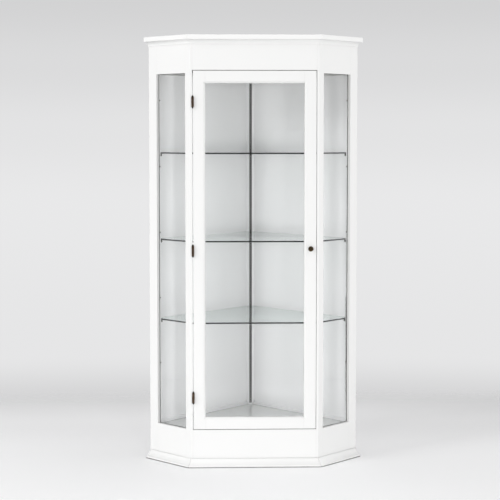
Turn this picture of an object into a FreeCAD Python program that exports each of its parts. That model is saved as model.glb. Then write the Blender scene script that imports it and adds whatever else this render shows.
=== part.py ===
import FreeCAD, Part
import math
import os
import Sketcher
from types import SimpleNamespace

# A white corner curio cabinet, in millimetres, +Z up.
# In plan it has five sides: a wide front with the glazed door, two returns that
# leave the front at 45 degrees, and two backs that lie against the room's walls.
# The origin is on the floor, in the middle of the overall box.

os.makedirs("parts", exist_ok=True)
doc = FreeCAD.newDocument("CornerCurioCabinet")
sheet = doc.addObject("Spreadsheet::Sheet", "Sizes")

DRIVING_SIZES = [
    ("overall_height", 1800, "floor to the top of the cornice"),
    ("front_width", 535, "front face between its two corners"),
    ("return_width", 250, "each 45 degree return, corner to wall"),
    ("side_board", 24, "thickness of posts, stiles and side boards"),
    ("lip", 14, "outer part of the side boards, in front of the glass"),
    ("rebate", 8, "how far the side glass runs in behind the lip"),
    ("post_face", 9, "front post beside the door, on the front"),
    ("post_return", 29, "front post on the return"),
    ("outer_stile", 47, "stile at the wall end of the return"),
    ("kick_height", 155, "top of the kick boards"),
    ("door_head", 144, "top of the cabinet down to the door opening"),
    ("side_head", 156, "top of the cabinet down to the side openings"),
    ("top_board", 18, "thickness of the top panel"),
    ("floor_board", 18, "thickness of the floor board"),
    ("floor_drop", 12, "floor board below the top of the kick boards"),
    ("ceiling", 16, "thickness of the ceiling board"),
    ("back_board", 8, "thickness of the back panels"),
    ("corner_post", 26, "side of the square post in the rear corner"),
    ("corner_flat", 11, "flat on the front edge of the rear post"),
    ("strip_height", 14, "wall strip on the floor board"),
    ("strip_depth", 9, "wall strip away from the back panel"),
    ("cornice_overhang", 29, "cornice in front of the faces"),
    ("cornice_height", 37, "cornice, bottom bead to top"),
    ("fascia_height", 19, "plain band at the top of the cornice"),
    ("cornice_step", 3, "fascia in front of the cove"),
    ("base_overhang", 27, "base moulding in front of the faces"),
    ("base_height", 34, "base moulding"),
    ("base_foot", 9, "upright part at the bottom of the base moulding"),
    ("base_lip", 1.5, "top edge of the base moulding in front of the faces"),
    ("base_hollow", 45, "radius of the base moulding's hollow slope"),
    ("bead_reach", 4, "small bead of the cornice in front of the faces"),
    ("bead_height", 3, "small bead of the cornice"),
    ("cove", 21, "radius of the cornice's cove"),
    ("door_thickness", 20, "door"),
    ("door_gap", 2.4, "door to the frame at top, bottom and lock side"),
    ("hinge_gap", 3.5, "door to the frame on the hinge side"),
    ("stop_gap", 0.3, "closed door to the ceiling board that stops it"),
    ("door_stile", 50, "door stile with its bevel"),
    ("door_rail", 51, "door rail with its bevel"),
    ("bevel_width", 8, "bevel round the door glass, seen from the front"),
    ("bevel_depth", 5, "bevel round the door glass, into the door"),
    ("door_lip", 8, "front of the door to the front of its glass"),
    ("door_rebate", 9, "how far the door glass runs in behind the lip"),
    ("glass", 4, "thickness of the fixed glass and the door glass"),
    ("glass_clearance", 0.5, "edge of the glass to its rebate"),
    ("bead_screw_drop", 110, "top bead screw below the side opening's head"),
    ("bead_screw_pitch", 280, "between bead screws"),
    ("shelf", 6, "thickness of the glass shelves"),
    ("shelf_front", 28, "shelf edge behind the front face"),
    ("shelf_side", 2, "shelf edge to the side boards"),
    ("shelf_back", 11.5, "shelf edge to the back panels"),
    ("shelf_tip", 3.5, "clipped rear tip to the rear standard"),
    ("slot_pitch", 12.7, "between the slots of a standard"),
    ("slot_height", 8, "slot"),
    ("slot_width", 3.4, "slot"),
    ("standard_width", 10, "slotted standard"),
    ("standard_thickness", 3, "slotted standard"),
    ("standard_gap", 10.5, "end of a standard to the floor or ceiling"),
    ("standard_inset", 4, "outer standards to the outer stiles"),
    ("low_slot", 35, "slots under the bottom shelf"),
    ("mid_slot", 62, "slots under the middle shelf"),
    ("high_slot", 91, "slots under the top shelf"),
    ("clip_reach", 25, "shelf clip in front of its standard"),
    ("clip_width", 3, "shelf clip"),
    ("clip_root", 11, "height of a clip at its standard"),
    ("clip_tip", 4, "height of a clip at its tip"),
    ("hook_height", 6, "hook of a clip inside its slot"),
    ("leaf_height", 40, "hinge leaf"),
    ("leaf_width", 18, "hinge leaf"),
    ("leaf", 1.5, "thickness of a hinge leaf"),
    ("barrel_radius", 5.25, "hinge barrel"),
    ("barrel_gap", 0.35, "barrel to the front face"),
    ("knuckle_gap", 0.3, "between the knuckles of a hinge"),
    ("pin_radius", 2, "hinge pin"),
    ("pin_clearance", 0.05, "pin to its knuckles"),
    ("finial", 7.5, "height of each finial of a hinge pin"),
    ("hinge_low", 134, "bottom hinge above the bottom of the door"),
    ("hinge_high", 129, "top hinge below the top of the door"),
    ("hinge_screw_spread", 24, "between the two screws of a leaf"),
    ("knob_radius", 11, "knob"),
    ("knob_reach", 20, "knob in front of the door"),
    ("knob_neck", 4.5, "radius of the knob's neck"),
    ("knob_foot", 7.2, "radius of the knob's foot"),
    ("knob_foot_height", 1.5, "straight part of the knob's foot"),
    ("knob_height", 916, "knob above the floor"),
    ("knob_inset", 23, "knob from the door's edge"),
    ("knob_screw", 2, "radius of the knob's machine screw"),
    ("knob_thread", 10, "how far the knob's screw runs into it"),
    ("catch_length", 40, "magnetic catch"),
    ("catch_depth", 20, "magnetic catch, front to back"),
    ("catch_height", 12, "magnetic catch"),
    ("catch_gap", 0.5, "magnet to the strike plate"),
    ("strike", 1.5, "thickness of the strike plate"),
    ("strike_length", 36, "strike plate"),
    ("strike_height", 11, "strike plate"),
    ("screw_radius", 1.4, "shank of the wood screws"),
    ("screw_head", 2.6, "radius of the wood screws' heads"),
    ("screw_cone", 1.2, "height of the wood screws' countersunk heads"),
    ("long_screw", 14, "wood screws of hinges and beads"),
    ("short_screw", 8, "wood screws of standards and strike plate"),
    ("small_radius", 1.2, "shank of the standards' screws"),
    ("small_head", 2.1, "radius of the standards' screw heads"),
    ("hole_clearance", 0.05, "screw to its hole, on the radius"),
]


class Size:
    """A length in millimetres, kept with the sheet expression that gives it."""

    def __init__(self, value, text):
        self.value = float(value)
        self.text = text

    def _join(self, other, sign, value):
        return Size(value, f"({self.text} {sign} {other.text})")

    def __add__(self, other):
        other = as_size(other)
        return self._join(other, "+", self.value + other.value)

    def __sub__(self, other):
        other = as_size(other)
        return self._join(other, "-", self.value - other.value)

    def __mul__(self, other):
        other = as_size(other)
        return self._join(other, "*", self.value * other.value)

    def __truediv__(self, other):
        other = as_size(other)
        return self._join(other, "/", self.value / other.value)

    def __radd__(self, other):
        return as_size(other) + self

    def __rsub__(self, other):
        return as_size(other) - self

    def __rmul__(self, other):
        return as_size(other) * self

    def __rtruediv__(self, other):
        return as_size(other) / self

    def __neg__(self):
        return as_size(0) - self


def as_size(number):
    """Lets a plain number stand beside sizes in a sum."""
    if isinstance(number, Size):
        return number
    return Size(number, repr(number))


def whole(size):
    """The size rounded down to a whole number."""
    return Size(math.floor(size.value), f"floor({size.text})")


def read_sheet():
    """Fills the sheet, one row for each driving size, and reads the sizes back from it."""
    for row, (alias, value, meaning) in enumerate(DRIVING_SIZES, start=1):
        sheet.set(f"A{row}", meaning)
        sheet.set(f"B{row}", str(value))
        sheet.setAlias(f"B{row}", alias)
    doc.recompute()
    sizes = {alias: Size(sheet.get(alias), f"Sizes.{alias}") for alias, _, _ in DRIVING_SIZES}
    return SimpleNamespace(**sizes)


dim = read_sheet()

# Plan lengths. The plan's own zero is the middle of the front face, at floor level.
ROOT_TWO = Size(math.sqrt(2), "sqrt(2)")
MITRE = Size(math.tan(math.radians(22.5)), "tan(22.5)")
half_front = dim.front_width / 2
half_opening = half_front - dim.post_face
back_corner = half_front + dim.return_width * ROOT_TWO
front_y = (dim.cornice_overhang - back_corner) / 2
inner_corner = back_corner - dim.back_board * ROOT_TWO
back_face = dim.return_width - dim.back_board
stile_edge = dim.return_width - dim.outer_stile
rail_board = dim.door_thickness + dim.stop_gap
post_corner = inner_corner - dim.corner_post / ROOT_TWO
rear_flat = post_corner - dim.corner_post / ROOT_TWO + dim.corner_flat / 2
rear_standard = rear_flat - dim.standard_thickness
shelf_rear = rear_standard - dim.shelf_tip

# Heights.
underside_of_top = dim.overall_height - dim.top_board
door_opening_top = dim.overall_height - dim.door_head
side_opening_top = dim.overall_height - dim.side_head
floor_top = dim.kick_height - dim.floor_drop
door_bottom = dim.kick_height + dim.door_gap
door_top = door_opening_top - dim.door_gap
standard_bottom = floor_top + dim.standard_gap

# Across the door.
door_left = dim.hinge_gap - half_opening
door_right = half_opening - dim.door_gap
glass_left = door_left + dim.door_stile
glass_right = door_right - dim.door_stile
glass_bottom = door_bottom + dim.door_rail
glass_top = door_top - dim.door_rail
hinge_x = dim.hinge_gap / 2 - half_opening
hinge_y = -dim.barrel_radius - dim.barrel_gap

UP = FreeCAD.Vector(0, 0, 1)
UPRIGHT = FreeCAD.Rotation()
nodes = []


# ---- Drawing and placing -------------------------------------------------------


def bind(item, prop, size):
    """Ties a property to the sheet."""
    item.setExpression(prop, as_size(size).text)


def place(item, x, y, z, rotation=UPRIGHT):
    """Puts an object at a point of the plan and a height above the floor."""
    spot = [as_size(x), as_size(y) + front_y, as_size(z)]
    base = FreeCAD.Vector(*[part.value for part in spot])
    item.Placement = FreeCAD.Placement(base, rotation)
    for axis, part in zip("xyz", spot):
        bind(item, f"Placement.Base.{axis}", part)
    return item


def return_turn(hand):
    """Turns local X along the return, away from the front; local Y is then inward times HAND."""
    return FreeCAD.Rotation(UP, 45 if hand > 0 else 135)


def place_on_return(item, hand, z):
    """Puts an object drawn in a return's own frame on the right (HAND 1) or left (-1)."""
    return place(item, hand * half_front, 0, z, return_turn(hand))


def return_point(hand, along, inward):
    """Plan point ALONG the return from its front corner and INWARD from its outer face."""
    return (hand * (half_front + (along - inward) / ROOT_TWO), (along + inward) / ROOT_TWO)


def node(item, name):
    """Names a finished sub-part and puts it on the list of what is written."""
    item.Label = name
    nodes.append(item)
    return item


def new_body(name):
    return doc.addObject("PartDesign::Body", name)


def new_sketch(body, role, offset=0):
    """Starts a sketch on one of the body's own planes, OFFSET along the plane's normal."""
    sketch = body.newObject("Sketcher::SketchObject", body.Name + "_sketch")
    plane = next(item for item in body.Origin.OriginFeatures if item.Role == role)
    sketch.AttachmentSupport = (plane, [""])
    sketch.MapMode = "FlatFace"
    bind(sketch, "AttachmentOffset.Base.z", offset)
    return sketch


def flat_vector(point):
    x, y = [as_size(part).value for part in point]
    return FreeCAD.Vector(x, y, 0)


def fix_distance(sketch, kind, edge, end, size):
    """Holds one end of an edge, or a radius, at a size."""
    size = as_size(size)
    if kind == "Radius":
        constraint = Sketcher.Constraint(kind, edge, size.value)
    else:
        constraint = Sketcher.Constraint(kind, -1, 1, edge, end, size.value)
    index = sketch.addConstraint(constraint)
    sketch.setExpression(f"Constraints[{index}]", size.text)


def arc_between(start, end, radius):
    """Arc of a circle from START to END; a positive radius bulges to the right of the way."""
    chord = end - start
    half = chord.Length / 2
    side = math.copysign(1, radius)
    right = FreeCAD.Vector(chord.y, -chord.x, 0).normalize() * side
    rise = abs(radius) - math.sqrt(max(radius * radius - half * half, 0))
    return Part.Arc(start, (start + end) / 2 + right * rise, end)


def draw_loop(sketch, points, bends=None):
    """Draws a closed outline; BENDS gives the radius of the edges that are arcs, by their place."""
    bends = bends or {}
    first = sketch.GeometryCount
    count = len(points)
    ends = []
    for corner, point in enumerate(points):
        start = flat_vector(point)
        end = flat_vector(points[(corner + 1) % count])
        if corner in bends:
            radius = bends[corner].value
            sketch.addGeometry(arc_between(start, end, radius), False)
            ends.append((1, 2) if radius > 0 else (2, 1))
        else:
            sketch.addGeometry(Part.LineSegment(start, end), False)
            ends.append((1, 2))
    for edge in range(count):
        following = (edge + 1) % count
        joint = ("Coincident", first + edge, ends[edge][1], first + following, ends[following][0])
        sketch.addConstraint(Sketcher.Constraint(*joint))
    for edge, (x, y) in enumerate(points):
        fix_distance(sketch, "DistanceX", first + edge, ends[edge][0], x)
        fix_distance(sketch, "DistanceY", first + edge, ends[edge][0], y)
        if edge in bends:
            size = bends[edge] if bends[edge].value > 0 else -bends[edge]
            fix_distance(sketch, "Radius", first + edge, None, size)


def rectangle(left, low, right, high):
    return [(left, low), (right, low), (right, high), (left, high)]


def pad(body, sketch, length, symmetric=False):
    """Raises a sketch along its plane's normal, or to both sides of the plane."""
    feature = body.newObject("PartDesign::Pad", body.Name + "_pad")
    feature.Profile = sketch
    if symmetric:
        feature.SideType = "Symmetric"
    bind(feature, "Length", length)
    sketch.Visibility = False
    return feature


def pocket(body, sketch, length=None):
    """Cuts a sketch out: LENGTH deep against the plane's normal, or right through both ways."""
    feature = body.newObject("PartDesign::Pocket", body.Name + "_pocket")
    feature.Profile = sketch
    if length is None:
        feature.SideType = "Symmetric"
        feature.Type = "ThroughAll"
    else:
        bind(feature, "Length", length)
    return feature


def board(name, points, thickness, role="XY_Plane", offset=0):
    """A body padded from one closed outline."""
    body = new_body(name)
    sketch = new_sketch(body, role, offset)
    draw_loop(sketch, points)
    pad(body, sketch, thickness)
    return body


def turned(name, points, bends=None):
    """A body turned about its own Z from the half outline (radius, height)."""
    body = new_body(name)
    sketch = new_sketch(body, "XZ_Plane")
    draw_loop(sketch, points, bends)
    feature = body.newObject("PartDesign::Revolution", body.Name + "_revolution")
    feature.Profile = sketch
    feature.ReferenceAxis = (sketch, ["V_Axis"])
    feature.Angle = 360
    return body


def group(name, members):
    """Several separate solids in one sub-part."""
    item = doc.addObject("Part::Compound", name)
    item.Links = members
    return item


def cut(name, base, tools):
    """BASE less all TOOLS."""
    base.Label = name + "_blank"
    item = doc.addObject("Part::Cut", name + "_cut")
    item.Base = base
    item.Tool = tools[0] if len(tools) == 1 else group(name + "_holes", tools)
    return item


# ---- Screws --------------------------------------------------------------------


def toward(x, y, z):
    """Rotation that points local Z along a direction."""
    return FreeCAD.Rotation(UP, FreeCAD.Vector(x, y, z))


def along_return(hand):
    """Rotation that points local Z along the return, away from the front."""
    return toward(hand, 1, 0)


def screw_solid(name, spot, radius, head, cone, length, spare=0):
    """Countersunk screw whose head is flush with its spot; SPARE widens it all round."""
    shank = radius + spare
    rim = head + spare
    outline = [(0, 0), (rim, 0), (shank, cone), (shank, length + spare), (0, length + spare)]
    body = turned(name, outline)
    x, y, z, rotation = spot
    return place(body, x, y, z, rotation)


class Fastening:
    """Screws of one kind: where they sit, the screws themselves and the holes they need."""

    def __init__(self, name, radius, head, length):
        self.name = name
        self.kind = (radius, head, dim.screw_cone, length)
        self.spots = []

    def screws(self):
        members = []
        for spot in self.spots:
            members.append(screw_solid(self.name + "_screw", spot, *self.kind))
        return members

    def holes(self, spots):
        members = []
        for spot in spots:
            members.append(screw_solid(self.name + "_hole", spot, *self.kind, dim.hole_clearance))
        return members


def in_rows(count, first, pitch):
    """COUNT heights, one PITCH below the other, from FIRST downwards."""
    return [first - pitch * step for step in range(count)]


# ---- Carcass -------------------------------------------------------------------

BOTH_SIDES = ((-1, "left"), (1, "right"))
HINGE_SIDE = -1
BEAD_SCREWS = 5

hinge_heights = [
    door_bottom + dim.hinge_low,
    (door_bottom + dim.hinge_low + door_top - dim.hinge_high) / 2,
    door_top - dim.hinge_high,
]
bead_heights = in_rows(BEAD_SCREWS, side_opening_top - dim.bead_screw_drop, dim.bead_screw_pitch)

frame_screws = Fastening("hinge_frame", dim.screw_radius, dim.screw_head, dim.long_screw)
door_screws = Fastening("hinge_door", dim.screw_radius, dim.screw_head, dim.long_screw)
bead_screws = Fastening("bead", dim.screw_radius, dim.screw_head, dim.long_screw)
standard_screws = Fastening("standard", dim.small_radius, dim.small_head, dim.short_screw)
catch_screws = Fastening("catch", dim.screw_radius, dim.screw_head, dim.catch_height + dim.short_screw)
strike_screws = Fastening("strike", dim.screw_radius, dim.screw_head, dim.short_screw)
knob_screws = Fastening("knob", dim.knob_screw, dim.knob_screw * 2, dim.door_thickness + dim.knob_thread)

slot_count = whole((side_opening_top - dim.standard_gap - standard_bottom) / dim.slot_pitch)
standard_inward = dim.side_board + dim.standard_inset + dim.standard_width / 2
screw_lands = []
for quarter in range(4):
    land = whole(slot_count * (quarter + 0.5) / 4)
    screw_lands.append(standard_bottom + dim.slot_pitch * land)
rear_standard_spots = []
outer_standard_spots = {-1: [], 1: []}

post_bead_spots = {}
stile_bead_spots = {}
for hand, _ in BOTH_SIDES:
    bead_depth = (dim.lip + dim.glass + dim.side_board) / 2
    front_face = return_point(hand, dim.post_return, bead_depth)
    outer_face = return_point(hand, stile_edge, bead_depth)
    toward_front = along_return(hand).multiply(FreeCAD.Rotation(FreeCAD.Vector(1, 0, 0), 180))
    post_bead_spots[hand] = [(*front_face, height, toward_front) for height in bead_heights]
    stile_bead_spots[hand] = [(*outer_face, height, along_return(hand)) for height in bead_heights]
    bead_screws.spots += post_bead_spots[hand] + stile_bead_spots[hand]

for centre in hinge_heights:
    for step in (-1, 1):
        height = centre + dim.hinge_screw_spread / 2 * step
        middle = dim.leaf_width / 2
        frame_side = (dim.leaf - half_opening, middle, height, toward(-1, 0, 0))
        door_side = (door_left - dim.leaf, middle, height, toward(1, 0, 0))
        frame_screws.spots.append(frame_side)
        door_screws.spots.append(door_side)


for height in screw_lands:
    rear_standard_spots.append((0, rear_standard, height, toward(0, 1, 0)))
    for hand, _ in BOTH_SIDES:
        face = return_point(hand, back_face - dim.standard_thickness, standard_inward)
        outer_standard_spots[hand].append((*face, height, along_return(hand)))
standard_screws.spots = rear_standard_spots + outer_standard_spots[-1] + outer_standard_spots[1]

catch_x = door_right - dim.door_stile / 2
catch_y = dim.door_thickness + dim.strike + dim.catch_gap
for step in (-1, 1):
    under = (catch_x + dim.catch_length / 4 * step, catch_y + dim.catch_depth / 2)
    behind = (catch_x + dim.strike_length / 4 * step, dim.door_thickness + dim.strike)
    strike_middle = side_opening_top - dim.catch_height / 2
    catch_screws.spots.append((*under, side_opening_top - dim.catch_height, toward(0, 0, 1)))
    strike_screws.spots.append((*behind, strike_middle, toward(0, -1, 0)))

knob_x = door_right - dim.knob_inset
knob_screws.spots.append((knob_x, dim.door_thickness, dim.knob_height, toward(0, -1, 0)))


def front_post(hand, side):
    """Post at the front corner, with the rebate for the side glass in its back."""
    inner = dim.side_board - dim.post_face * ROOT_TWO
    points = [
        (hand * half_front, 0),
        (hand * half_opening, 0),
        return_point(hand, inner, dim.side_board),
        return_point(hand, dim.post_return - dim.rebate, dim.side_board),
        return_point(hand, dim.post_return - dim.rebate, dim.lip),
        return_point(hand, dim.post_return, dim.lip),
        return_point(hand, dim.post_return, 0),
    ]
    name = f"front_post_{side}"
    post = place(board(name, points, underside_of_top), 0, 0, 0)
    holes = bead_screws.holes(post_bead_spots[hand])
    if hand == HINGE_SIDE:
        holes += frame_screws.holes(frame_screws.spots)
    node(cut(name, post, holes), name)


def outer_stile(hand, side):
    """Stile at the wall end of the return, with the same rebate."""
    points = [
        (stile_edge, 0),
        (dim.return_width, 0),
        (dim.return_width, hand * dim.side_board),
        (stile_edge + dim.rebate, hand * dim.side_board),
        (stile_edge + dim.rebate, hand * dim.lip),
        (stile_edge, hand * dim.lip),
    ]
    name = f"outer_stile_{side}"
    stile = place_on_return(board(name, points, underside_of_top), hand, 0)
    node(cut(name, stile, bead_screws.holes(stile_bead_spots[hand])), name)


def side_board(hand, name, low, high, lip_offset):
    """Board across the return between post and stile: a thick part tongued into both rebates
    and, toward the opening, a lip that stands a rebate further."""
    thick = [
        (dim.post_return, 0),
        (stile_edge, 0),
        (stile_edge, hand * dim.lip),
        (stile_edge + dim.rebate, hand * dim.lip),
        (stile_edge + dim.rebate, hand * dim.side_board),
        (dim.post_return - dim.rebate, hand * dim.side_board),
        (dim.post_return - dim.rebate, hand * dim.lip),
        (dim.post_return, hand * dim.lip),
    ]
    body = board(name, thick, high - low)
    lip = new_sketch(body, "XY_Plane", lip_offset)
    draw_loop(lip, rectangle(dim.post_return, 0, stile_edge, hand * dim.lip))
    pad(body, lip, dim.rebate)
    node(place_on_return(body, hand, low), name)


def front_board(name, low, high):
    """Board across the front between the two posts."""
    points = rectangle(-half_opening, 0, half_opening, rail_board)
    node(place(board(name, points, high - low), 0, 0, low), name)


def back_panel(hand, side):
    """Thin panel against the room's wall, mitred to its twin in the rear corner."""
    points = [
        return_point(hand, back_face, dim.side_board),
        return_point(hand, dim.return_width, dim.side_board),
        (0, back_corner),
        (0, inner_corner),
    ]
    name = f"back_panel_{side}"
    panel = place(board(name, points, underside_of_top), 0, 0, 0)
    node(cut(name, panel, standard_screws.holes(outer_standard_spots[hand])), name)


def corner_post():
    """Square post in the rear corner, its front edge planed to a flat."""
    post_side = dim.corner_post / ROOT_TWO
    points = [
        (0, inner_corner),
        (-post_side, post_corner),
        (-dim.corner_flat / 2, rear_flat),
        (dim.corner_flat / 2, rear_flat),
        (post_side, post_corner),
    ]
    post = place(board("corner_post", points, underside_of_top), 0, 0, 0)
    node(cut("corner_post", post, standard_screws.holes(rear_standard_spots)), "corner_post")


def inner_board(name, low, thickness, holes=()):
    """Floor or ceiling board: it fills the inside and is notched round the corner post."""
    inner = dim.side_board - dim.post_face * ROOT_TWO
    points = [(-half_opening, rail_board), (half_opening, rail_board)]
    points += [return_point(1, inner, dim.side_board), return_point(1, back_face, dim.side_board)]
    points += [(dim.corner_post / ROOT_TWO, post_corner), (dim.corner_flat / 2, rear_flat)]
    points += [(-dim.corner_flat / 2, rear_flat), (-dim.corner_post / ROOT_TWO, post_corner)]
    points += [return_point(-1, back_face, dim.side_board), return_point(-1, inner, dim.side_board)]
    body = place(board(name, points, thickness), 0, 0, low)
    node(cut(name, body, list(holes)) if holes else body, name)


def top_panel():
    """Panel over the posts and boards, the full outline of the carcass."""
    points = [(-half_front, 0), (half_front, 0), return_point(1, dim.return_width, 0)]
    points += [(0, back_corner), return_point(-1, dim.return_width, 0)]
    node(place(board("top_panel", points, dim.top_board), 0, 0, underside_of_top), "top_panel")


def wall_strip(hand, side):
    """Strip that covers the joint of the floor board and the back panel."""
    start = standard_inward + dim.standard_width / 2 + dim.standard_inset
    end = dim.front_width / ROOT_TWO + back_face - dim.corner_post
    points = rectangle(back_face - dim.strip_depth, hand * start, back_face, hand * end)
    name = f"wall_strip_{side}"
    node(place_on_return(board(name, points, dim.strip_height), hand, floor_top), name)


# ---- Mouldings -----------------------------------------------------------------


def cornice_profile():
    """Outline (outward, up) of the cornice: bead, cove, step and fascia."""
    band = dim.cornice_height - dim.fascia_height
    cove_end = dim.cornice_overhang - dim.cornice_step
    points = [
        (0, 0),
        (dim.bead_reach, 0),
        (dim.bead_reach, dim.bead_height),
        (cove_end, band),
        (dim.cornice_overhang, band),
        (dim.cornice_overhang, dim.cornice_height),
        (0, dim.cornice_height),
    ]
    return points, {2: -dim.cove}


def base_profile():
    """Outline (outward, up) of the base moulding: an upright foot under a hollow slope."""
    points = [
        (0, 0),
        (dim.base_overhang, 0),
        (dim.base_overhang, dim.base_foot),
        (dim.base_lip, dim.base_height),
        (0, dim.base_height),
    ]
    return points, {2: -dim.base_hollow}


def mitre_triangle(corner, hand, overhang):
    """What a mitre takes off beyond a front corner, drawn past the moulding all round."""
    reach = overhang * 2
    tip = (corner + hand * reach * MITRE, -reach)
    root = (corner - hand * reach * MITRE, reach)
    return [root, tip, (corner + hand * reach * 2, reach)]


def moulding(kind, profile, overhang, low):
    """One moulding round the front and both returns, mitred at the front corners and cut off
    flush with the walls."""
    points, bends = profile
    body = new_body(f"{kind}_front")
    sketch = new_sketch(body, "YZ_Plane")
    flipped = {edge: -radius for edge, radius in bends.items()}
    draw_loop(sketch, [(-as_size(out), up) for out, up in points], flipped)
    pad(body, sketch, (half_front + overhang) * 2, symmetric=True)
    for hand, _ in BOTH_SIDES:
        mitre = new_sketch(body, "XY_Plane")
        draw_loop(mitre, mitre_triangle(hand * half_front, hand, overhang))
        pocket(body, mitre)
    node(place(body, 0, 0, low), f"{kind}_front")
    for hand, side in BOTH_SIDES:
        body = new_body(f"{kind}_{side}")
        sketch = new_sketch(body, "YZ_Plane", -overhang)
        turned_bends = {edge: radius * -hand for edge, radius in bends.items()}
        draw_loop(sketch, [(-hand * as_size(out), up) for out, up in points], turned_bends)
        pad(body, sketch, dim.return_width + overhang)
        mitre = new_sketch(body, "XY_Plane")
        reach = overhang * 2
        root = (reach * MITRE, hand * reach)
        tip = (-reach * MITRE, -hand * reach)
        draw_loop(mitre, [root, tip, (-reach * 2, hand * reach)])
        pocket(body, mitre)
        node(place_on_return(body, hand, low), f"{kind}_{side}")


# ---- Side glass ----------------------------------------------------------------


def side_glass(hand, side):
    """Fixed pane in the return, standing in the rebates behind the lip."""
    left = dim.post_return - dim.rebate + dim.glass_clearance
    right = stile_edge + dim.rebate - dim.glass_clearance
    points = rectangle(left, hand * dim.lip, right, hand * (dim.lip + dim.glass))
    height = side_opening_top - dim.kick_height + dim.rebate * 2 - dim.glass_clearance
    name = f"side_glass_{side}"
    body = board(name, points, height)
    node(place_on_return(body, hand, dim.kick_height - dim.rebate), name)


def side_beads(hand, side):
    """Four beads that hold the side glass: two screwed uprights and two between them."""
    front = dim.lip + dim.glass
    low = dim.kick_height - dim.rebate
    height = side_opening_top - dim.kick_height + dim.rebate * 2
    uprights = (
        ("post", dim.post_return - dim.rebate, dim.post_return, post_bead_spots[hand]),
        ("stile", stile_edge, stile_edge + dim.rebate, stile_bead_spots[hand]),
    )
    members = []
    for end, left, right, spots in uprights:
        name = f"{end}_bead_{side}"
        points = rectangle(left, hand * front, right, hand * dim.side_board)
        upright = place_on_return(board(name, points, height), hand, low)
        members.append(cut(name, upright, bead_screws.holes(spots)))
    for end, level in (("low", low), ("high", side_opening_top)):
        points = rectangle(dim.post_return, hand * front, stile_edge, hand * dim.side_board)
        cross = board(f"{end}_bead_{side}", points, dim.rebate)
        members.append(place_on_return(cross, hand, level))
    node(group(f"side_beads_{side}", members), f"side_beads_{side}")


# ---- Door ----------------------------------------------------------------------


def door_opening(grow):
    """The door's glass opening, grown all round."""
    return rectangle(glass_left - grow, glass_bottom - grow, glass_right + grow, glass_top + grow)


def bevel_cutter(name):
    """Low pyramid whose slopes are the bevel round the glass opening."""
    cutter = doc.addObject("Part::Wedge", name + "_bevel")
    left, low = door_opening(dim.bevel_width)[0]
    right, high = door_opening(dim.bevel_width)[2]
    sides = {
        "Xmin": left, "Xmax": right, "Zmin": low, "Zmax": high,
        "X2min": glass_left, "X2max": glass_right, "Z2min": glass_bottom, "Z2max": glass_top,
        "Ymin": as_size(0), "Ymax": dim.bevel_depth,
    }
    for prop, size in sides.items():
        setattr(cutter, prop, size.value)
        bind(cutter, prop, size)
    return place(cutter, 0, 0, 0)


def door_board(name, left, low, right, high, holes=()):
    """Stile or rail: a flat board with the bevel of the opening cut into its front and the
    rebate for the glass into its back."""
    body = board(name, rectangle(left, low, right, high), dim.door_thickness, "XZ_Plane",
                 -dim.door_thickness)
    rebate = new_sketch(body, "XZ_Plane", -dim.door_lip)
    draw_loop(rebate, door_opening(dim.door_rebate))
    pocket(body, rebate, dim.door_thickness - dim.door_lip)
    place(body, 0, 0, 0)
    node(cut(name, body, [bevel_cutter(name)] + list(holes)), name)


def door_frame():
    """Two full height stiles with the rails between them."""
    lock_holes = knob_screws.holes(knob_screws.spots) + strike_screws.holes(strike_screws.spots)
    door_board("door_hinge_stile", door_left, door_bottom, glass_left, door_top,
               door_screws.holes(door_screws.spots))
    door_board("door_lock_stile", glass_right, door_bottom, door_right, door_top, lock_holes)
    door_board("door_bottom_rail", glass_left, door_bottom, glass_right, glass_bottom)
    door_board("door_top_rail", glass_left, glass_top, glass_right, door_top)


def door_glass():
    """The door's pane, standing on the bottom rail's rebate."""
    spare = dim.door_rebate - dim.glass_clearance
    points = rectangle(glass_left - spare, glass_bottom - dim.door_rebate,
                       glass_right + spare, glass_top + spare)
    body = board("door_glass", points, dim.glass, "XZ_Plane", -dim.door_lip - dim.glass)
    node(place(body, 0, 0, 0), "door_glass")


def door_beads():
    """Four beads that hold the door glass from behind."""
    edge = dim.door_rebate
    depth = dim.door_thickness - dim.door_lip - dim.glass
    strips = (
        ("hinge", glass_left - edge, glass_bottom - edge, glass_left, glass_top + edge),
        ("lock", glass_right, glass_bottom - edge, glass_right + edge, glass_top + edge),
        ("low", glass_left, glass_bottom - edge, glass_right, glass_bottom),
        ("high", glass_left, glass_top, glass_right, glass_top + edge),
    )
    members = []
    for end, *corners in strips:
        strip = board(f"door_bead_{end}", rectangle(*corners), depth, "XZ_Plane",
                      -dim.door_thickness)
        members.append(place(strip, 0, 0, 0))
    node(group("door_beads", members), "door_beads")


# ---- Hinges --------------------------------------------------------------------


def box(name, width, depth, height, x, y, z):
    item = doc.addObject("Part::Box", name)
    bind(item, "Length", width)
    bind(item, "Width", depth)
    bind(item, "Height", height)
    return place(item, x, y, z)


def rod(name, radius, height, x, y, z):
    item = doc.addObject("Part::Cylinder", name)
    bind(item, "Radius", radius)
    bind(item, "Height", height)
    return place(item, x, y, z)


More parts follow.
